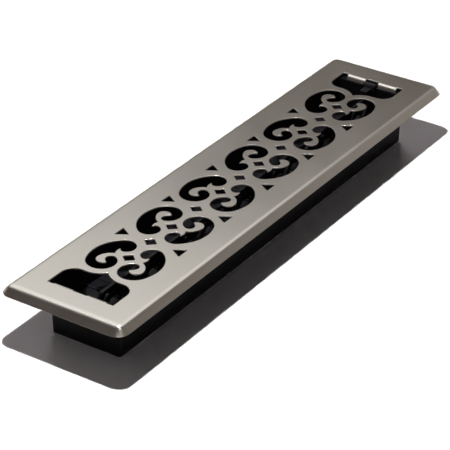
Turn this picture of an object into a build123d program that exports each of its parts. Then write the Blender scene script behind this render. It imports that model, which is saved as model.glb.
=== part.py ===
from build123d import *
import math
import os

os.makedirs("parts", exist_ok=True)

# A drop-in floor register: a stamped scroll-pattern faceplate clipped over a moulded damper box.
# Crosswise louvers in the box turn together, linked by a tie bar that a thumb lever pushes.
# X runs along the length with the lever at +X, Z is up, and the origin is under the box's middle.

# Louvers, shut and level at rest
louver_count = 16
louver_pitch = 18.6
louver_gap = 0.4
louver_length = 43.0
louver_height = 14.0
louver_root_thickness = 1.5
louver_edge_thickness = 0.9
louver_edge_radius = 0.25
hub_radius = 1.6
pivot_radius = 1.5
pivot_reach = 1.6
yoke_slot_setback = 1.0

# Cranks that link the louvers to the tie bar
crank_radius = 10.0
crank_lean = 40.0
crank_eye_radius = 2.2
crank_thickness = 1.6
pin_radius = 1.0
pin_clearance = 0.08

# Damper box, open above and below
box_height = 33.8
box_wall = 1.5
box_draft = 1.5
box_corner_radius = 1.8
box_inner_corner_radius = 0.8
louver_end_gap = 1.45
louver_side_gap = 0.65
pivot_clearance = 0.1
pivot_end_clearance = 0.15
end_wall_drop = 2.0
lip_reach = 2.6
lip_thickness = 1.4
lip_setback = 4.5
stop_reach = 2.2
stop_thickness = 1.4
stop_clearance = 0.3
upstand_clearance = 0.15
upstand_thickness = 1.2
upstand_gap = 0.1
ledge_side_overlap = 0.9
tab_slot_clearance = 0.3
recess_side_clearance = 1.1
recess_foot_clearance = 1.1
recess_back_clearance = 0.4

# Tie bar
bar_thickness = 1.8
bar_height = 8.0
bar_above_pin = 4.1
bar_side_clearance = 0.4
bar_end_margin = 3.5
bar_corner_radius = 2.0
tongue_length = 5.6
tongue_height = 4.4
tongue_setback = 0.2

# Thumb lever
lever_width = 8.6
lever_stem_thickness = 1.2
lever_head_thickness = 3.1
lever_head_clearance = 0.4
lever_below_plate = 0.3
lever_foot_rise = 0.7
lever_edge_radius = 1.0
socket_wall = 1.5
socket_clearance = 0.1
socket_height = 6.2
socket_corner_radius = 0.8
grip_count = 2
grip_first_drop = 1.6
grip_pitch = 1.7
grip_radius = 0.45
grip_end_margin = 0.6

# Faceplate, stamped from sheet
sheet_thickness = 0.8
end_overhang = 19.6
side_overhang = 17.3
rim_run = 4.2
rim_drop = 4.4
rim_corner_radius = 8.0
crease_corner_radius = 2.4
crease_bend_radius = 4.0

# Tabs folded down at the windows, which clip over the box's end walls above the floor line
tab_length = 13.0
tab_gap = 9.5
tab_bend_radius = 2.4
tab_clearance = 0.15
floor_clearance = 0.2
dimple_radius = 0.5
dimple_tip_radius = 0.25
dimple_depth = 0.4
dimple_clearance = 0.1

# Scroll pattern and end windows
cell_pitch = 44.85
cell_count = 6
medallion_shift = 1.9
diamond_half_length = 3.8
diamond_half_width = 4.3
triangle_half_length = 4.4
triangle_tip = 14.8
pattern_side_setback = 0.6
cutout_corner_radius = 0.4
window_length = 20.3
window_cusp_reach = 5.0
window_corner_radius = 8.0
window_neck = 9.5
cusp_flare_reach = 3.3
cusp_flare_half_width = 4.4

# One comma-shaped scroll: its corners, then the places where its arcs meet, from its cell's middle
spiral_tip = (-8.5, 7.7)
hook_tip = (7.8, 9.8)
hook_throat = (5.0, 10.4)
scroll_cusp = (1.8, 9.4)
spiral_flank = (-1.0, 13.4)
spiral_crown = (-5.7, 15.5)
spiral_side = (-10.7, 11.0)
spiral_tip_angle = 62.0
tongue_rise = (-5.3, 10.7)
tongue_side = (-1.3, 6.9)
tongue_foot = (-7.9, 1.9)
back_foot = (-17.4, 10.9)
back_shoulder = (-11.5, 19.7)
back_crown = (-1.5, 22.0)
hook_shoulder = (11.5, 17.9)
hook_side = (16.1, 13.3)
hook_foot = (11.0, 2.6)
hook_root = (5.8, 6.0)

# Cutters run past what they cut by this much
cut_margin = 1.0


def box_reach(half_size, height):
    """Half of a drafted size of the box at a height, from the half size at the louvers' pivots."""
    return half_size + (height - louver_height) * math.tan(math.radians(box_draft))


# Places that follow from the sizes above
plate_under = box_height
plate_top = box_height + sheet_thickness
floor_line = plate_top - rim_drop
rim_angle = math.atan2(rim_drop, rim_run)
half_chord = (louver_pitch - louver_gap) / 2
inner_half_length = louver_count * louver_pitch / 2 - louver_gap / 2 + louver_end_gap
inner_half_width = louver_length / 2 + louver_side_gap
outer_half_length = inner_half_length + box_wall
outer_half_width = inner_half_width + box_wall
end_wall_top = box_height - end_wall_drop
end_wall_face = box_reach(outer_half_length, end_wall_top)
pattern_half_width = box_reach(inner_half_width, box_height) - pattern_side_setback
tab_face = end_wall_face + tab_clearance
tab_foot = floor_line + floor_clearance
tab_middle = (tab_gap + tab_length) / 2
dimple_height = (tab_foot + end_wall_top) / 2
window_end = tab_face + tab_bend_radius
window_shoulder = window_end - window_length
window_cusp = window_shoulder - window_cusp_reach
faceplate_length = 2 * (window_end + end_overhang)
faceplate_width = 2 * (box_reach(outer_half_width, box_height) + side_overhang)
pin_x = crank_radius * math.sin(math.radians(crank_lean))
pin_z = crank_radius * math.cos(math.radians(crank_lean))
pin_height = louver_height + pin_z
yoke_half = bar_thickness / 2 + bar_side_clearance


def louver_middle(index):
    """Where a louver's pivot axis lies along the box."""
    return (index - (louver_count - 1) / 2) * louver_pitch


first_pin = louver_middle(0) + pin_x
last_pin = louver_middle(louver_count - 1) + pin_x
bar_end = last_pin + bar_end_margin
bar_top = pin_height + bar_above_pin
tongue_far = bar_end - tongue_setback
tongue_near = tongue_far - tongue_length
socket_foot = bar_top + socket_clearance
lever_face = bar_end
lever_foot = socket_foot + lever_foot_rise
lever_top = plate_top - lever_below_plate
lever_back = lever_face + lever_stem_thickness
lever_head_foot = end_wall_top + lever_head_clearance
recess_foot = lever_foot - recess_foot_clearance
recess_back = lever_back + recess_back_clearance


def across(radius, length):
    """A round bar along Y, centred on the origin."""
    return Cylinder(radius, length, rotation=(90, 0, 0))


def rounded_face(length, width, radius, height):
    """A level rounded rectangle at a height."""
    return Plane.XY.offset(height) * RectangleRounded(length, width, radius)


def pressed_form(inset, bend_radius):
    """The plate's outer form, or its underside when inset by the sheet's thickness."""
    side = inset / math.sin(rim_angle)
    crown_inset = inset * math.tan(rim_angle / 2)
    crown_shrink = rim_run + crown_inset
    skirt = rounded_face(
        faceplate_length - 2 * side,
        faceplate_width - 2 * side,
        rim_corner_radius - side,
        floor_line,
    )
    crown = rounded_face(
        faceplate_length - 2 * crown_shrink,
        faceplate_width - 2 * crown_shrink,
        crease_corner_radius - crown_inset,
        plate_top - inset,
    )
    form = loft([skirt.face(), crown.face()], ruled=True)
    return fillet(form.faces().sort_by(Axis.Z)[-1].edges(), bend_radius)


def scroll_outline():
    """One comma-shaped scroll, with its cell's middle at x = 0 and the register's centre line at y = 0."""
    spiral = ThreePointArc(scroll_cusp, spiral_flank, spiral_crown)
    spiral_turn = TangentArc(spiral_crown, spiral_side, tangent=spiral % 1)
    tongue_back = TangentArc(spiral_side, spiral_tip, tangent=spiral_turn % 1)
    outline = [spiral, spiral_turn, tongue_back]
    sweep = [
        tongue_rise,
        tongue_side,
        tongue_foot,
        back_foot,
        back_shoulder,
        back_crown,
        hook_shoulder,
        hook_side,
        hook_foot,
        hook_root,
        hook_tip,
    ]
    start = spiral_tip
    lean = math.radians(spiral_tip_angle)
    tangent = Vector(math.cos(lean), math.sin(lean))
    for meeting in sweep:
        arc = TangentArc(start, meeting, tangent=tangent)
        outline.append(arc)
        start = meeting
        tangent = arc % 1
    outline.append(ThreePointArc(hook_tip, hook_throat, scroll_cusp))
    return make_face(Wire(outline))


def rounded_polygon(corners):
    """A straight-sided cut-out with slightly rounded corners."""
    face = make_face(Polyline(*corners, close=True))
    return fillet(face.vertices(), cutout_corner_radius)


def scroll_pattern():
    """Every cut-out between the two windows, as flat faces."""
    scroll = scroll_outline()
    diamond = rounded_polygon([
        (-diamond_half_length, 0),
        (0, -diamond_half_width),
        (diamond_half_length, 0),
        (0, diamond_half_width),
    ])
    triangle = rounded_polygon([
        (0, triangle_tip),
        (triangle_half_length, pattern_half_width),
        (-triangle_half_length, pattern_half_width),
    ])
    faces = []
    for cell in range(cell_count):
        middle = (cell - (cell_count - 1) / 2) * cell_pitch
        turned = cell % 2 == 1
        medallion = scroll.mirror(Plane.YZ) if turned else scroll
        shift = -medallion_shift if turned else medallion_shift
        faces.append(Pos(middle, 0) * medallion)
        faces.append(Pos(middle, 0) * medallion.mirror(Plane.XZ))
        faces.append(Pos(middle + shift, 0) * diamond)
    for gap in range(1, cell_count):
        middle = (gap - cell_count / 2) * cell_pitch
        faces.append(Pos(middle, 0) * diamond)
        faces.append(Pos(middle, 0) * triangle)
        faces.append(Pos(middle, 0) * triangle.mirror(Plane.XZ))
    return faces


def window_outline():
    """The far end window: a straight end, round shoulders and a cusp that points inwards."""
    half = pattern_half_width
    shoulder_start = (window_shoulder + window_corner_radius, half)
    shoulder_end = (window_shoulder, half - window_corner_radius)
    neck = (window_shoulder, window_neck)
    upper = [
        Line((window_end, 0), (window_end, half)),
        Line((window_end, half), shoulder_start),
        RadiusArc(shoulder_start, shoulder_end, -window_corner_radius),
        Line(shoulder_end, neck),
        ThreePointArc(neck, (window_cusp + cusp_flare_reach, cusp_flare_half_width), (window_cusp, 0)),
    ]
    lower = [edge.mirror(Plane.XZ) for edge in upper]
    return make_face(Wire(upper + lower))


def dimple(clearance):
    """A small pressed bump at the far window, pointing inwards from the tab, or its recess when grown."""
    bump = Cone(
        dimple_radius + clearance,
        dimple_tip_radius + clearance,
        tab_clearance + dimple_depth + clearance,
        rotation=(0, -90, 0),
    )
    return Pos(tab_face - (tab_clearance + dimple_depth + clearance) / 2, 0, dimple_height) * bump


def tab():
    """One folded tab at the far window, centred on y = 0, with the dimple that snaps into the end wall."""
    outer = tab_bend_radius
    inner = tab_bend_radius - sheet_thickness
    bend_z = plate_top - outer
    back = tab_face + sheet_thickness
    diagonal = math.sqrt(0.5)
    section = Wire([
        ThreePointArc(
            (window_end, 0, plate_top),
            (window_end - outer * diagonal, 0, bend_z + outer * diagonal),
            (tab_face, 0, bend_z),
        ),
        Line((tab_face, 0, bend_z), (tab_face, 0, tab_foot)),
        Line((tab_face, 0, tab_foot), (back, 0, tab_foot)),
        Line((back, 0, tab_foot), (back, 0, bend_z)),
        ThreePointArc(
            (back, 0, bend_z),
            (window_end - inner * diagonal, 0, bend_z + inner * diagonal),
            (window_end, 0, plate_under),
        ),
        Line((window_end, 0, plate_under), (window_end, 0, plate_top)),
    ])
    folded = extrude(make_face(section), amount=tab_length / 2, dir=(0, 1, 0), both=True)
    return folded + dimple(0) - Pos(sheet_thickness, 0, 0) * dimple(0)


def build_faceplate():
    """The stamped sheet: bevelled rim, scroll cut-outs, end windows and folded tabs."""
    plate = pressed_form(0, crease_bend_radius) - pressed_form(sheet_thickness, crease_bend_radius - sheet_thickness)
    window = window_outline()
    cutters = scroll_pattern() + [window, window.mirror(Plane.YZ)]
    depth = sheet_thickness + 2 * cut_margin
    plate -= [extrude(Pos(0, 0, plate_top + cut_margin) * face, amount=-depth) for face in cutters]
    for side in (-1, 1):
        one = Pos(0, side * tab_middle, 0) * tab()
        plate += [one, one.mirror(Plane.YZ)]
    return plate


def drafted_block(half_length, half_width, radius):
    """The box's outer form, or its hollow, which both widen upwards."""
    flat = RectangleRounded(2 * box_reach(half_length, 0), 2 * box_reach(half_width, 0), radius)
    return extrude(flat, amount=box_height, taper=-box_draft)


def seating_lips():
    """The outward lips along both long walls that the faceplate rests on."""
    length = 2 * (box_reach(outer_half_length, box_height) - lip_setback)
    width = 2 * (box_reach(outer_half_width, box_height) + lip_reach)
    return Pos(0, 0, box_height - lip_thickness / 2) * Box(length, width, lip_thickness)


def end_ledge():
    """The ledge outside the far end wall that closes the window's end, with its upstand and a slot for each tab."""
    near = end_wall_face - box_wall / 2
    upstand_near = window_end + upstand_clearance
    far = upstand_near + upstand_thickness
    width = 2 * (pattern_half_width + ledge_side_overlap)
    ledge = Pos((near + far) / 2, 0, (tab_foot + end_wall_top) / 2) * Box(far - near, width, end_wall_top - tab_foot)
    upstand_top = plate_under - upstand_gap
    ledge += Pos((upstand_near + far) / 2, 0, (tab_foot + upstand_top) / 2) * Box(
        upstand_thickness, width, upstand_top - tab_foot
    )
    slot_far = tab_face + sheet_thickness + tab_slot_clearance
    slot = Pos((end_wall_face + slot_far) / 2, 0, tab_foot) * Box(
        slot_far - end_wall_face,
        tab_length + 2 * tab_slot_clearance,
        2 * (end_wall_top - tab_foot + cut_margin),
    )
    return ledge - [Pos(0, side * tab_middle, 0) * slot for side in (-1, 1)]


def end_relief():
    """What is taken off the far end wall: its top and the recesses for the tabs' dimples."""
    inner_top = box_reach(inner_half_length, end_wall_top) - cut_margin
    length = end_wall_face + cut_margin - inner_top
    width = 2 * box_reach(inner_half_width, end_wall_top)
    lowered = Pos(inner_top + length / 2, 0, box_height) * Box(length, width, 2 * end_wall_drop)
    recesses = [Pos(0, side * tab_middle, 0) * dimple(dimple_clearance) for side in (-1, 1)]
    return [lowered] + recesses


def lever_recess():
    """The blind recess inside the far end wall that the lever's stem stands in when the louvers are shut."""
    near = box_reach(inner_half_length, recess_foot) - cut_margin
    return Pos((near + recess_back) / 2, 0, box_height) * Box(
        recess_back - near, lever_width + 2 * recess_side_clearance, 2 * (box_height - recess_foot)
    )


def end_stops():
    """Ledges that the first and last louvers close against, one above its edge and one below."""
    width = 2 * (inner_half_width + box_wall / 2)
    rise = louver_edge_thickness / 2 + stop_clearance + stop_thickness / 2
    ledge = Box(stop_reach + box_wall / 2, width, stop_thickness)
    offset = inner_half_length - stop_reach / 2 + box_wall / 4
    return [
        Pos(offset, 0, louver_height - rise) * ledge,
        Pos(-offset, 0, louver_height + rise) * ledge,
    ]


def pivot_sockets():
    """Blind sockets in both long walls for the louvers' pivots."""
    length = louver_length + 2 * (pivot_reach + pivot_end_clearance)
    bore = across(pivot_radius + pivot_clearance, length)
    return [Pos(louver_middle(index), 0, louver_height) * bore for index in range(louver_count)]


def build_damper_box():
    """The moulded box, with its lips, end ledges, pivot sockets, stops and lever recess."""
    ledge = end_ledge()
    box = drafted_block(outer_half_length, outer_half_width, box_corner_radius)
    box += [seating_lips(), ledge, ledge.mirror(Plane.YZ)]
    box -= drafted_block(inner_half_length, inner_half_width, box_inner_corner_radius)
    for relief in end_relief():
        box -= [relief, relief.mirror(Plane.YZ)]
    return box + end_stops() - pivot_sockets() - lever_recess()


def build_louver():
    """One louver, shut and level, with its pivot on the Y axis."""
    root = louver_root_thickness / 2
    edge = louver_edge_thickness / 2
    wing = make_face(Polyline(
        (-half_chord, 0, -edge),
        (0, 0, -root),
        (half_chord, 0, -edge),
        (half_chord, 0, edge),
        (0, 0, root),
        (-half_chord, 0, edge),
        close=True,
    ))
    blade = extrude(wing, amount=louver_length / 2, dir=(0, 1, 0), both=True)
    blade = fillet(blade.edges().filter_by(Axis.Y).group_by(Axis.X)[0], louver_edge_radius)
    blade = fillet(blade.edges().filter_by(Axis.Y).group_by(Axis.X)[-1], louver_edge_radius)
    blade += across(hub_radius, louver_length)
    blade += across(pivot_radius, louver_length + 2 * pivot_reach)
    slot_start = hub_radius + yoke_slot_setback
    slot_length = half_chord + cut_margin - slot_start
    blade -= Pos(slot_start + slot_length / 2, 0, 0) * Box(slot_length, 2 * yoke_half, 2 * hub_radius)
    return blade + crank()


def crank():
    """Two cheeks on the louver's hub, with the crank pin between them."""
    eye = Pos(pin_x, pin_z) * Circle(crank_eye_radius)
    cheek = Plane.XZ * make_hull(Circle(hub_radius).edges() + eye.edges())
    pin = Pos(pin_x, 0, pin_z) * across(pin_radius, 2 * yoke_half + crank_thickness)
    cheeks = [
        extrude(Pos(0, side * yoke_half, 0) * cheek, amount=crank_thickness, dir=(0, side, 0))
        for side in (-1, 1)
    ]
    return pin + cheeks


def build_tie_bar():
    """The thin strip on the centre line that every crank pin passes through."""
    length = last_pin - first_pin + 2 * bar_end_margin
    strip = Plane.XZ * (Pos((first_pin + last_pin) / 2, bar_top - bar_height / 2) * RectangleRounded(
        length, bar_height, bar_corner_radius
    ))
    tongue = Plane.XZ * (Pos((tongue_near + tongue_far) / 2, bar_top) * Rectangle(tongue_length, 2 * tongue_height))
    holes = [
        Plane.XZ * (Pos(louver_middle(index) + pin_x, pin_height) * Circle(pin_radius + pin_clearance))
        for index in range(louver_count)
    ]
    return extrude(strip + tongue - holes, amount=bar_thickness / 2, both=True)


def build_lever():
    """The thumb lever: a thin stem with a thicker head, on a socket that presses over the tie bar's tongue."""
    socket_near = tongue_near - socket_clearance - socket_wall
    socket_far = lever_face + lever_stem_thickness / 2
    socket_width = bar_thickness + 2 * (socket_clearance + socket_wall)
    socket = Pos((socket_near + socket_far) / 2, 0, socket_foot + socket_height / 2) * Box(
        socket_far - socket_near, socket_width, socket_height
    )
    socket = fillet(socket.edges().filter_by(Axis.Z), socket_corner_radius)
    pocket_height = tongue_height + socket_clearance
    pocket = Pos((tongue_near + tongue_far) / 2, 0, bar_top + pocket_height / 2) * Box(
        tongue_length + 2 * socket_clearance, bar_thickness + 2 * socket_clearance, pocket_height
    )
    stem = Pos(lever_face + lever_stem_thickness / 2, 0, (lever_foot + lever_top) / 2) * Box(
        lever_stem_thickness, lever_width, lever_top - lever_foot
    )
    head = Pos(lever_face + lever_head_thickness / 2, 0, (lever_head_foot + lever_top) / 2) * Box(
        lever_head_thickness, lever_width, lever_top - lever_head_foot
    )
    thumb = stem + head
    thumb = fillet(thumb.faces().sort_by(Axis.Z)[-1].edges(), lever_edge_radius)
    lever = socket + thumb - pocket
    for rib in range(grip_count):
        z = lever_top - grip_first_drop - rib * grip_pitch
        lever += Pos(lever_face, 0, z) * across(grip_radius, lever_width - 2 * grip_end_margin)
    return lever


def main():
    nodes = {
        "faceplate": build_faceplate(),
        "damper_box": build_damper_box(),
        "tie_bar": build_tie_bar(),
        "lever": build_lever(),
    }
    louver = build_louver()
    for index in range(louver_count):
        nodes[f"louver_{index + 1:02d}"] = Pos(louver_middle(index), 0, louver_height) * louver
    for name, shape in nodes.items():
        export_step(shape.solid(), f"parts/{name}.step")


main()
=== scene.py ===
import math

import bmesh
import bpy
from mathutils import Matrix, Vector


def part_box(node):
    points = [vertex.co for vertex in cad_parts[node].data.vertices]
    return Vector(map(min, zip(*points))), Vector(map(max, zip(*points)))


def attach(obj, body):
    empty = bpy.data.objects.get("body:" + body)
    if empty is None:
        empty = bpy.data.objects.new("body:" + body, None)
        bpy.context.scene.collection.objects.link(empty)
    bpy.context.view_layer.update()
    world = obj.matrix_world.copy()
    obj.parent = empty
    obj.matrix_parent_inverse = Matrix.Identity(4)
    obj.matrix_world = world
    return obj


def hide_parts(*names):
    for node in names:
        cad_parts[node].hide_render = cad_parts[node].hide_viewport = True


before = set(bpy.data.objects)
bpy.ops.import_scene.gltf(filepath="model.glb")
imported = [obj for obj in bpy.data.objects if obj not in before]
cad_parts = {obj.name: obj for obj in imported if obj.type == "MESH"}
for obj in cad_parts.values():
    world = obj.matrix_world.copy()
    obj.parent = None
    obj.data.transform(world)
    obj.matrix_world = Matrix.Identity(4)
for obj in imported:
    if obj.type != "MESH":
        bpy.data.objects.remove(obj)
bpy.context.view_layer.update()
scene = bpy.context.scene

# Camera at the photograph's viewpoint
camera_place = Vector((-0.8922, -0.5894, 0.6246))
camera_looks_along = Vector((0.7172, 0.4822, -0.5031))
camera_lens = 166.2
camera_sensor = 36.0
camera_reach = (0.05, 50.0)

# Studio: a small lamp almost overhead, of which gloss sees a share, and two weak lights for the shadow's ends
lamp_place = Vector((-0.081, 0.037, 0.897))
lamp_radius = 0.017
lamp_power = 38.5
glint_share = 0.45
back_place = Vector((0.95, 0.75, 0.34))
back_power = 5.8
side_place = Vector((-0.56, 0.16, 0.93))
side_power = 0.40
weak_aim = Vector((0.0, 0.0, 0.0))
weak_size = 0.7

# Soft panels that only gloss sees: name, reach along the length, reach across, power
panel_height = 0.50
panels = (
    ("panel", (-0.16, 0.54), (-0.18, 1.10), 2.74),
    ("strip", (-0.20, 0.11), (0.16, 0.86), 0.95),
    ("corner_panel", (-0.43, -0.31), (-0.37, -0.25), 0.34),
    ("far_panel", (0.60, 1.35), (-0.58, 0.10), 0.37))

# World: an even fill, and for gloss dim walls, darker towards -X, with a paler horizon
fill_colour = (1.0, 0.90, 0.91)
fill_strength = 0.046
wall_ahead = (0.124, 0.104, 0.094)
wall_behind = (0.058, 0.045, 0.041)
wall_turn = (-0.5, 0.5)
horizon_glow = (0.30, 0.27, 0.24)
glow_lean = 0.30
glow_rise = (0.36, 0.16)

# Floor: white to the camera and to gloss, grey to other rays, plain white far off
floor_size = 8.0
floor_fade = (0.26, 0.6)
floor_grey = (0.25, 0.25, 0.25, 1.0)
white = (1.0, 1.0, 1.0, 1.0)

# Softened edges of the pressed cut-outs, and what counts as flat, upright, sharp and touching
rollover = 0.00024
rollover_steps = 3
flat_facing = 0.999
upright_facing = 0.05
flat_angle = 0.01
sharp_angle = math.radians(38)
merge_reach = 1e-6
level_reach = 1e-5
top_reach = 0.00002

# Roll-off of the sheet towards the creases at its ends, and depth of the brushed lines
crown_end = 0.1722
crown_width = 0.0060
crown_drop = 0.00058
brush_depth = 0.00001

# Webs of the end ledges, which reach a little into the walls they join
web_overlap = 0.00005
wall_face = 0.15196
slot_far = 0.15352
slot_y = (0.00440, 0.01810)
slot_z = (0.03045, 0.03170)
return_y = (0.02290, 0.02420)
return_z = (0.03042, 0.03368)

# Satin nickel: colours and roughness of the face, of the sheared walls and of the underside; the sheared walls
# are paler partly as bare cut steel and partly as a painted highlight, and the underside is darker as painted
# shade
face_colour = (0.62, 0.60, 0.55)
# Paler sheared walls: partly bare cut steel, partly a painted highlight standing in for the light that whitens
# them
bare_steel_and_highlight_colour = (0.80, 0.78, 0.74)
# Darker underside: painted shade, which keeps bounce light out of the floor's shadow beneath
underside_shade_colour = (0.20, 0.195, 0.19)
face_roughness = 0.31
sheared_rougher = 0.20
underside_rougher = 0.22
face_drift = 0.10
sheared_softness = 0.25
underside_start = 0.3
underside_softness = 0.3
brush_stretch = (45.0, 2600.0, 2600.0)
drift_stretch = (22.0, 34.0, 34.0)

# Black mouldings: colour, roughness and specular level, then their shared grain and flow marks
box_finish = ((0.0036, 0.0033, 0.0042), 0.50, 0.16)
louver_finish = ((0.0060, 0.0056, 0.0076), 0.43, 0.30)
linkage_finish = ((0.0052, 0.0048, 0.0062), 0.41, 0.26)
grain_strength = 0.25
grain_depth = 0.00008
grain_stretch = (2200.0, 2200.0, 2200.0)
flow_stretch = (30.0, 60.0, 60.0)
flow_drift = 0.16


def group_with(name, inputs, outputs):
    """Starts a shader node group with the named inputs and outputs."""
    tree = bpy.data.node_groups.new(name, "ShaderNodeTree")
    for label, kind, value in inputs:
        socket = tree.interface.new_socket(label, in_out="INPUT", socket_type=kind)
        socket.default_value = value
    for label, kind in outputs:
        tree.interface.new_socket(label, in_out="OUTPUT", socket_type=kind)
    entry = tree.nodes.new("NodeGroupInput")
    leave = tree.nodes.new("NodeGroupOutput")
    return tree, entry, leave


def maths(tree, operation, first, second=None, clamp=False):
    """Adds one math node; each operand is a socket or a number."""
    node = tree.nodes.new("ShaderNodeMath")
    node.operation = operation
    node.use_clamp = clamp
    for index, operand in enumerate((first, second)):
        if operand is None:
            continue
        if isinstance(operand, (int, float)):
            node.inputs[index].default_value = operand
        else:
            tree.links.new(operand, node.inputs[index])
    return node.outputs[0]


def stretched_noise(tree, stretch, detail=2.0):
    """Adds noise on the object's own coordinates, stretched by its scale along each axis."""
    place = tree.nodes.new("ShaderNodeTexCoord")
    mapping = tree.nodes.new("ShaderNodeMapping")
    mapping.inputs["Scale"].default_value = stretch
    noise = tree.nodes.new("ShaderNodeTexNoise")
    noise.inputs["Scale"].default_value = 1.0
    noise.inputs["Detail"].default_value = detail
    tree.links.new(place.outputs["Object"], mapping.inputs["Vector"])
    tree.links.new(mapping.outputs["Vector"], noise.inputs["Vector"])
    return noise.outputs["Fac"]


def make_brushing():
    """Fine lines along the length, and the slow drift of a satin finish."""
    tree, entry, leave = group_with(
        "satin_brushing",
        [("Line Depth", "NodeSocketFloat", 1.0), ("Drift", "NodeSocketFloat", 1.0)],
        [("Height", "NodeSocketFloat"), ("Gloss Shift", "NodeSocketFloat")])
    lines = stretched_noise(tree, brush_stretch, 3.0)
    drift = stretched_noise(tree, drift_stretch)
    tree.links.new(maths(tree, "MULTIPLY", lines, entry.outputs["Line Depth"]), leave.inputs["Height"])
    centred = maths(tree, "SUBTRACT", drift, 0.5)
    tree.links.new(maths(tree, "MULTIPLY", centred, entry.outputs["Drift"]), leave.inputs["Gloss Shift"])
    return tree


def make_sheared_walls():
    """Mask of the upright walls that the press sheared, from the way each face points; the nickel makes them
    rougher, and paler partly as bare cut steel and partly as a painted highlight.
    """
    tree, entry, leave = group_with(
        "sheared_walls", [("Softness", "NodeSocketFloat", sheared_softness)], [("Mask", "NodeSocketFloat")])
    place = tree.nodes.new("ShaderNodeTexCoord")
    parts = tree.nodes.new("ShaderNodeSeparateXYZ")
    tree.links.new(place.outputs["Normal"], parts.inputs["Vector"])
    upright = maths(tree, "ABSOLUTE", parts.outputs["Z"])
    fade = maths(tree, "DIVIDE", upright, entry.outputs["Softness"])
    tree.links.new(maths(tree, "SUBTRACT", 1.0, fade, clamp=True), leave.inputs["Mask"])
    return tree


def make_shaded_underside():
    """Mask of the sheet's underside, from the way each face points; there the nickel is rougher, and darker as
    painted shade.
    """
    tree, entry, leave = group_with(
        "plain_underside", [("Softness", "NodeSocketFloat", underside_softness)], [("Mask", "NodeSocketFloat")])
    place = tree.nodes.new("ShaderNodeTexCoord")
    parts = tree.nodes.new("ShaderNodeSeparateXYZ")
    tree.links.new(place.outputs["Normal"], parts.inputs["Vector"])
    down = maths(tree, "MULTIPLY", parts.outputs["Z"], -1.0)
    above = maths(tree, "SUBTRACT", down, underside_start)
    tree.links.new(maths(tree, "DIVIDE", above, entry.outputs["Softness"], clamp=True), leave.inputs["Mask"])
    return tree


def make_crown():
    """Height of the pressed sheet where it rolls off towards the creases at its ends, in metres."""
    tree, entry, leave = group_with(
        "rolled_ends", [("Drop", "NodeSocketFloat", crown_drop)], [("Height", "NodeSocketFloat")])
    place = tree.nodes.new("ShaderNodeTexCoord")
    parts = tree.nodes.new("ShaderNodeSeparateXYZ")
    tree.links.new(place.outputs["Object"], parts.inputs["Vector"])
    share = tree.nodes.new("ShaderNodeMapRange")
    share.interpolation_type = "SMOOTHSTEP"
    share.inputs["From Min"].default_value = crown_end - crown_width
    share.inputs["From Max"].default_value = crown_end
    tree.links.new(maths(tree, "ABSOLUTE", parts.outputs["X"]), share.inputs["Value"])
    fallen = maths(tree, "MULTIPLY", share.outputs["Result"], entry.outputs["Drop"])
    tree.links.new(maths(tree, "MULTIPLY", fallen, -1.0), leave.inputs["Height"])
    return tree


def make_moulded_grain():
    """The fine grain and faint flow marks of moulded plastic."""
    tree, entry, leave = group_with(
        "moulded_grain",
        [("Grain", "NodeSocketFloat", 1.0), ("Flow", "NodeSocketFloat", 1.0)],
        [("Height", "NodeSocketFloat"), ("Gloss Shift", "NodeSocketFloat")])
    grain = stretched_noise(tree, grain_stretch)
    flow = stretched_noise(tree, flow_stretch)
    tree.links.new(maths(tree, "MULTIPLY", grain, entry.outputs["Grain"]), leave.inputs["Height"])
    centred = maths(tree, "SUBTRACT", flow, 0.5)
    tree.links.new(maths(tree, "MULTIPLY", centred, entry.outputs["Flow"]), leave.inputs["Gloss Shift"])
    return tree


def place_group(material, tree, **values):
    """Puts a node group into a material with its own values."""
    node = material.node_tree.nodes.new("ShaderNodeGroup")
    node.node_tree = tree
    for label, value in values.items():
        node.inputs[label.replace("_", " ")].default_value = value
    return node


def bump_from(material, height, strength, distance):
    """Adds a bump that feeds the shader's normal."""
    tree = material.node_tree
    bump = tree.nodes.new("ShaderNodeBump")
    bump.inputs["Strength"].default_value = strength
    bump.inputs["Distance"].default_value = distance
    tree.links.new(height, bump.inputs["Height"])
    tree.links.new(bump.outputs["Normal"], tree.nodes["Principled BSDF"].inputs["Normal"])


def mixed_colour(tree, mask, first, second):
    """Mixes two colours by a mask; each is a socket or plain red, green and blue."""
    mix = tree.nodes.new("ShaderNodeMix")
    mix.data_type = "RGBA"
    for index, colour in ((6, first), (7, second)):
        if isinstance(colour, tuple):
            mix.inputs[index].default_value = (*colour, 1.0)
        else:
            tree.links.new(colour, mix.inputs[index])
    tree.links.new(mask, mix.inputs[0])
    return mix.outputs[2]


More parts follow.
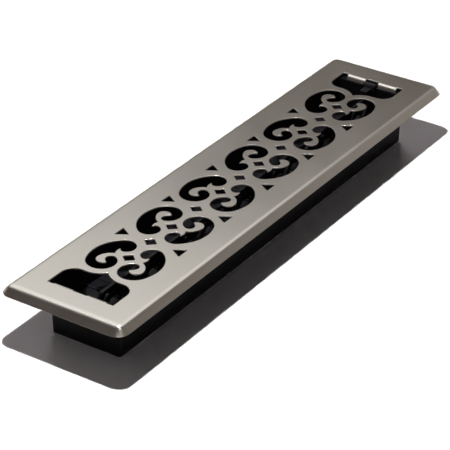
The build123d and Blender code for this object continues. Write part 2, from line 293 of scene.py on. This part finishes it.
def make_nickel(brushing, walls, underside, crown):
    """Satin nickel plate, rougher where the press sheared it and paler there, partly as bare cut steel and
    partly as a painted highlight, with its underside darkened as painted shade.
    """
    material = bpy.data.materials.new("satin_nickel")
    material.use_nodes = True
    tree = material.node_tree
    shader = tree.nodes["Principled BSDF"]
    shader.inputs["Metallic"].default_value = 1.0
    finish = place_group(material, brushing, Line_Depth=1.0, Drift=face_drift)
    sheared = place_group(material, walls, Softness=sheared_softness)
    # Sheared walls paler: partly bare cut steel, partly a painted highlight
    tint = mixed_colour(tree, sheared.outputs["Mask"], face_colour, bare_steel_and_highlight_colour)
    back = place_group(material, underside, Softness=underside_softness)
    # Darker underside: painted shade
    tint = mixed_colour(tree, back.outputs["Mask"], tint, underside_shade_colour)
    tree.links.new(tint, shader.inputs["Base Color"])
    rough = maths(tree, "ADD", finish.outputs["Gloss Shift"], face_roughness)
    edge_rough = maths(tree, "MULTIPLY", sheared.outputs["Mask"], sheared_rougher)
    back_rough = maths(tree, "MULTIPLY", back.outputs["Mask"], underside_rougher)
    rough = maths(tree, "ADD", rough, edge_rough)
    tree.links.new(maths(tree, "ADD", rough, back_rough), shader.inputs["Roughness"])
    rolled = place_group(material, crown, Drop=crown_drop)
    lines = maths(tree, "MULTIPLY", finish.outputs["Height"], brush_depth)
    bump_from(material, maths(tree, "ADD", lines, rolled.outputs["Height"]), 1.0, 1.0)
    return material


def make_plastic(name, grain, colour, roughness, level):
    """Black moulded plastic with a fine grain."""
    material = bpy.data.materials.new(name)
    material.use_nodes = True
    tree = material.node_tree
    shader = tree.nodes["Principled BSDF"]
    shader.inputs["Base Color"].default_value = (*colour, 1.0)
    shader.inputs["Specular IOR Level"].default_value = level
    skin = place_group(material, grain, Grain=1.0, Flow=flow_drift)
    tree.links.new(maths(tree, "ADD", skin.outputs["Gloss Shift"], roughness), shader.inputs["Roughness"])
    bump_from(material, skin.outputs["Height"], grain_strength, grain_depth)
    return material


def finish_nodes():
    """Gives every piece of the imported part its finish."""
    brushing = make_brushing()
    walls = make_sheared_walls()
    grain = make_moulded_grain()
    nickel = make_nickel(brushing, walls, make_shaded_underside(), make_crown())
    box_black = make_plastic("box_black", grain, *box_finish)
    louver_black = make_plastic("louver_black", grain, *louver_finish)
    linkage_black = make_plastic("linkage_black", grain, *linkage_finish)
    for name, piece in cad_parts.items():
        if name == "faceplate":
            material = nickel
        elif name == "damper_box":
            material = box_black
        elif name.startswith("louver"):
            material = louver_black
        else:
            material = linkage_black
        for slot in piece.material_slots:
            slot.material = material
    return nickel, box_black


def soften_faceplate(nickel):
    """Rolls over the top edge of every cut-out, as the press leaves it, on a merged copy of the faceplate."""
    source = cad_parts["faceplate"]
    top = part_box("faceplate")[1].z
    shape = bmesh.new()
    shape.from_mesh(source.data)
    bmesh.ops.remove_doubles(shape, verts=shape.verts, dist=merge_reach)

    def on_top(face):
        return face.normal.z > flat_facing and face.calc_center_median().z > top - top_reach

    flat = {face for face in shape.faces if on_top(face)}
    inner = [
        edge for edge in shape.edges
        if len(edge.link_faces) == 2 and all(face in flat for face in edge.link_faces)]
    bmesh.ops.dissolve_limit(
        shape, angle_limit=flat_angle, use_dissolve_boundaries=False, verts=[], edges=inner, delimit=set())
    rims = []
    for edge in shape.edges:
        if len(edge.link_faces) != 2:
            continue
        first, second = edge.link_faces
        if on_top(second):
            first, second = second, first
        if on_top(first) and abs(second.normal.z) < upright_facing:
            rims.append(edge)
    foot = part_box("faceplate")[0].z
    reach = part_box("faceplate")[1].x
    for edge in shape.edges:
        low_end = all(v.co.z < foot + level_reach and abs(v.co.x) > reach - level_reach for v in edge.verts)
        if len(edge.link_faces) == 2 and low_end:
            rims.append(edge)
    bmesh.ops.bevel(
        shape, geom=rims, offset=rollover, offset_type="OFFSET", segments=rollover_steps, profile=0.5,
        affect="EDGES", clamp_overlap=False, material=-1)
    for edge in shape.edges:
        edge.smooth = len(edge.link_faces) == 2 and edge.calc_face_angle(0.0) < sharp_angle
    for face in shape.faces:
        face.smooth = True
    mesh = bpy.data.meshes.new("faceplate_pressing")
    shape.to_mesh(mesh)
    shape.free()
    mesh.materials.clear()
    mesh.materials.append(nickel)
    piece = bpy.data.objects.new("faceplate_pressing", mesh)
    scene.collection.objects.link(piece)
    even = piece.modifiers.new("even_shading", "WEIGHTED_NORMAL")
    even.keep_sharp = True
    even.weight = 50
    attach(piece, "frame")
    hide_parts("faceplate")
    return piece


def close_ledges(black):
    """Moulded webs that close the end ledges: at each end's sides, and around the tabs in their slots."""
    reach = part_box("damper_box")[1].x
    blocks = []
    for end in (-1, 1):
        for side in (-1, 1):
            blocks.append((end, side, (wall_face, reach - web_overlap), return_y, return_z))
            blocks.append((end, side, (wall_face, slot_far), slot_y, slot_z))
    shape = bmesh.new()
    for end, side, along, across, up in blocks:
        corners = bmesh.ops.create_cube(shape, size=1.0)["verts"]
        middle = Vector((end * sum(along) / 2, side * sum(across) / 2, sum(up) / 2))
        size = (along[1] - along[0], across[1] - across[0], up[1] - up[0])
        bmesh.ops.scale(shape, vec=size, verts=corners)
        bmesh.ops.translate(shape, vec=middle, verts=corners)
    mesh = bpy.data.meshes.new("ledge_webs")
    shape.to_mesh(mesh)
    shape.free()
    mesh.materials.append(black)
    piece = bpy.data.objects.new("ledge_webs", mesh)
    scene.collection.objects.link(piece)
    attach(piece, "frame")


def place_camera():
    """Sets the camera where the photograph was taken from."""
    lens = bpy.data.cameras.new("view_camera")
    lens.lens = camera_lens
    lens.sensor_width = camera_sensor
    lens.clip_start, lens.clip_end = camera_reach
    camera = bpy.data.objects.new("view_camera", lens)
    camera.location = camera_place
    camera.rotation_mode = "QUATERNION"
    camera.rotation_quaternion = camera_looks_along.to_track_quat("-Z", "Y")
    scene.collection.objects.link(camera)
    scene.camera = camera


def place_lights():
    """Hangs the small lamp with its glint, the soft panels and the weak lights."""
    for name, power in (("lamp", lamp_power), ("glint", lamp_power * glint_share)):
        lamp = bpy.data.lights.new(name, "POINT")
        lamp.energy = power
        lamp.shadow_soft_size = lamp_radius
        bulb = bpy.data.objects.new(name, lamp)
        bulb.location = lamp_place
        bulb.visible_glossy = name == "glint"
        bulb.visible_diffuse = name == "lamp"
        scene.collection.objects.link(bulb)
    for name, along, across, power in panels:
        panel = bpy.data.lights.new(name, "AREA")
        panel.shape = "RECTANGLE"
        panel.size = along[1] - along[0]
        panel.size_y = across[1] - across[0]
        panel.energy = power
        soft = bpy.data.objects.new(name, panel)
        soft.location = (sum(along) / 2, sum(across) / 2, panel_height)
        soft.visible_diffuse = False
        soft.visible_camera = False
        scene.collection.objects.link(soft)
    for name, place, power in (("back_light", back_place, back_power), ("side_light", side_place, side_power)):
        weak = bpy.data.lights.new(name, "AREA")
        weak.shape = "DISK"
        weak.size = weak_size
        weak.energy = power
        weak.color = fill_colour
        head = bpy.data.objects.new(name, weak)
        head.location = place
        head.rotation_mode = "QUATERNION"
        head.rotation_quaternion = (weak_aim - place).to_track_quat("-Z", "Y")
        head.visible_glossy = False
        head.visible_camera = False
        scene.collection.objects.link(head)


def light_world():
    """A low even fill; gloss sees dim walls with a pale horizon, and the camera sees white."""
    world = bpy.data.worlds.new("studio")
    scene.world = world
    world.use_nodes = True
    tree = world.node_tree
    out = tree.nodes["World Output"]
    rays = tree.nodes.new("ShaderNodeLightPath")
    fill = tree.nodes["Background"]
    fill.inputs["Color"].default_value = (*fill_colour, 1.0)
    fill.inputs["Strength"].default_value = fill_strength
    way = tree.nodes.new("ShaderNodeTexCoord")
    parts = tree.nodes.new("ShaderNodeSeparateXYZ")
    tree.links.new(way.outputs["Generated"], parts.inputs["Vector"])
    low = tree.nodes.new("ShaderNodeMapRange")
    low.interpolation_type = "SMOOTHSTEP"
    low.inputs["From Min"].default_value = glow_rise[0]
    low.inputs["From Max"].default_value = glow_rise[1]
    leaning = maths(tree, "MULTIPLY", parts.outputs["Y"], glow_lean)
    tree.links.new(maths(tree, "ADD", parts.outputs["Z"], leaning), low.inputs["Value"])
    ahead = tree.nodes.new("ShaderNodeMapRange")
    ahead.inputs["From Min"].default_value = wall_turn[0]
    ahead.inputs["From Max"].default_value = wall_turn[1]
    tree.links.new(parts.outputs["X"], ahead.inputs["Value"])
    wall = mixed_colour(tree, ahead.outputs["Result"], wall_behind, wall_ahead)
    tint = mixed_colour(tree, low.outputs["Result"], wall, horizon_glow)
    walls = tree.nodes.new("ShaderNodeBackground")
    tree.links.new(tint, walls.inputs["Color"])
    plain = tree.nodes.new("ShaderNodeBackground")
    plain.inputs["Color"].default_value = white
    glossy = tree.nodes.new("ShaderNodeMixShader")
    tree.links.new(rays.outputs["Is Glossy Ray"], glossy.inputs["Fac"])
    tree.links.new(fill.outputs[0], glossy.inputs[1])
    tree.links.new(walls.outputs[0], glossy.inputs[2])
    seen = tree.nodes.new("ShaderNodeMixShader")
    tree.links.new(rays.outputs["Is Camera Ray"], seen.inputs["Fac"])
    tree.links.new(glossy.outputs[0], seen.inputs[1])
    tree.links.new(plain.outputs[0], seen.inputs[2])
    tree.links.new(seen.outputs[0], out.inputs["Surface"])


def lay_floor():
    """A pale floor that fades to plain white far off, and that is clear from below."""
    mesh = bpy.data.meshes.new("floor")
    shape = bmesh.new()
    bmesh.ops.create_grid(shape, x_segments=1, y_segments=1, size=floor_size / 2)
    shape.to_mesh(mesh)
    shape.free()
    floor = bpy.data.objects.new("floor", mesh)
    scene.collection.objects.link(floor)
    material = bpy.data.materials.new("floor_white")
    material.use_nodes = True
    tree = material.node_tree
    tree.nodes.remove(tree.nodes["Principled BSDF"])
    out = tree.nodes["Material Output"]
    rays = tree.nodes.new("ShaderNodeLightPath")
    near = tree.nodes.new("ShaderNodeBsdfDiffuse")
    near.inputs["Color"].default_value = white
    grey = tree.nodes.new("ShaderNodeBsdfDiffuse")
    grey.inputs["Color"].default_value = floor_grey
    glow = tree.nodes.new("ShaderNodeEmission")
    place = tree.nodes.new("ShaderNodeTexCoord")
    reach = tree.nodes.new("ShaderNodeVectorMath")
    reach.operation = "LENGTH"
    tree.links.new(place.outputs["Object"], reach.inputs[0])
    far = tree.nodes.new("ShaderNodeMapRange")
    far.inputs["From Min"].default_value = floor_fade[0]
    far.inputs["From Max"].default_value = floor_fade[1]
    tree.links.new(reach.outputs["Value"], far.inputs["Value"])
    fade = tree.nodes.new("ShaderNodeMixShader")
    tree.links.new(far.outputs["Result"], fade.inputs["Fac"])
    tree.links.new(near.outputs[0], fade.inputs[1])
    tree.links.new(glow.outputs[0], fade.inputs[2])
    seen = tree.nodes.new("ShaderNodeMixShader")
    shown = maths(tree, "MAXIMUM", rays.outputs["Is Camera Ray"], rays.outputs["Is Glossy Ray"])
    tree.links.new(shown, seen.inputs["Fac"])
    tree.links.new(grey.outputs[0], seen.inputs[1])
    tree.links.new(fade.outputs[0], seen.inputs[2])
    side = tree.nodes.new("ShaderNodeNewGeometry")
    clear = tree.nodes.new("ShaderNodeBsdfTransparent")
    sided = tree.nodes.new("ShaderNodeMixShader")
    tree.links.new(side.outputs["Backfacing"], sided.inputs["Fac"])
    tree.links.new(seen.outputs[0], sided.inputs[1])
    tree.links.new(clear.outputs[0], sided.inputs[2])
    tree.links.new(sided.outputs[0], out.inputs["Surface"])
    mesh.materials.append(material)


place_camera()
place_lights()
light_world()
lay_floor()
metal, moulding = finish_nodes()
soften_faceplate(metal)
close_ledges(moulding)
scene.view_settings.view_transform = "Standard"
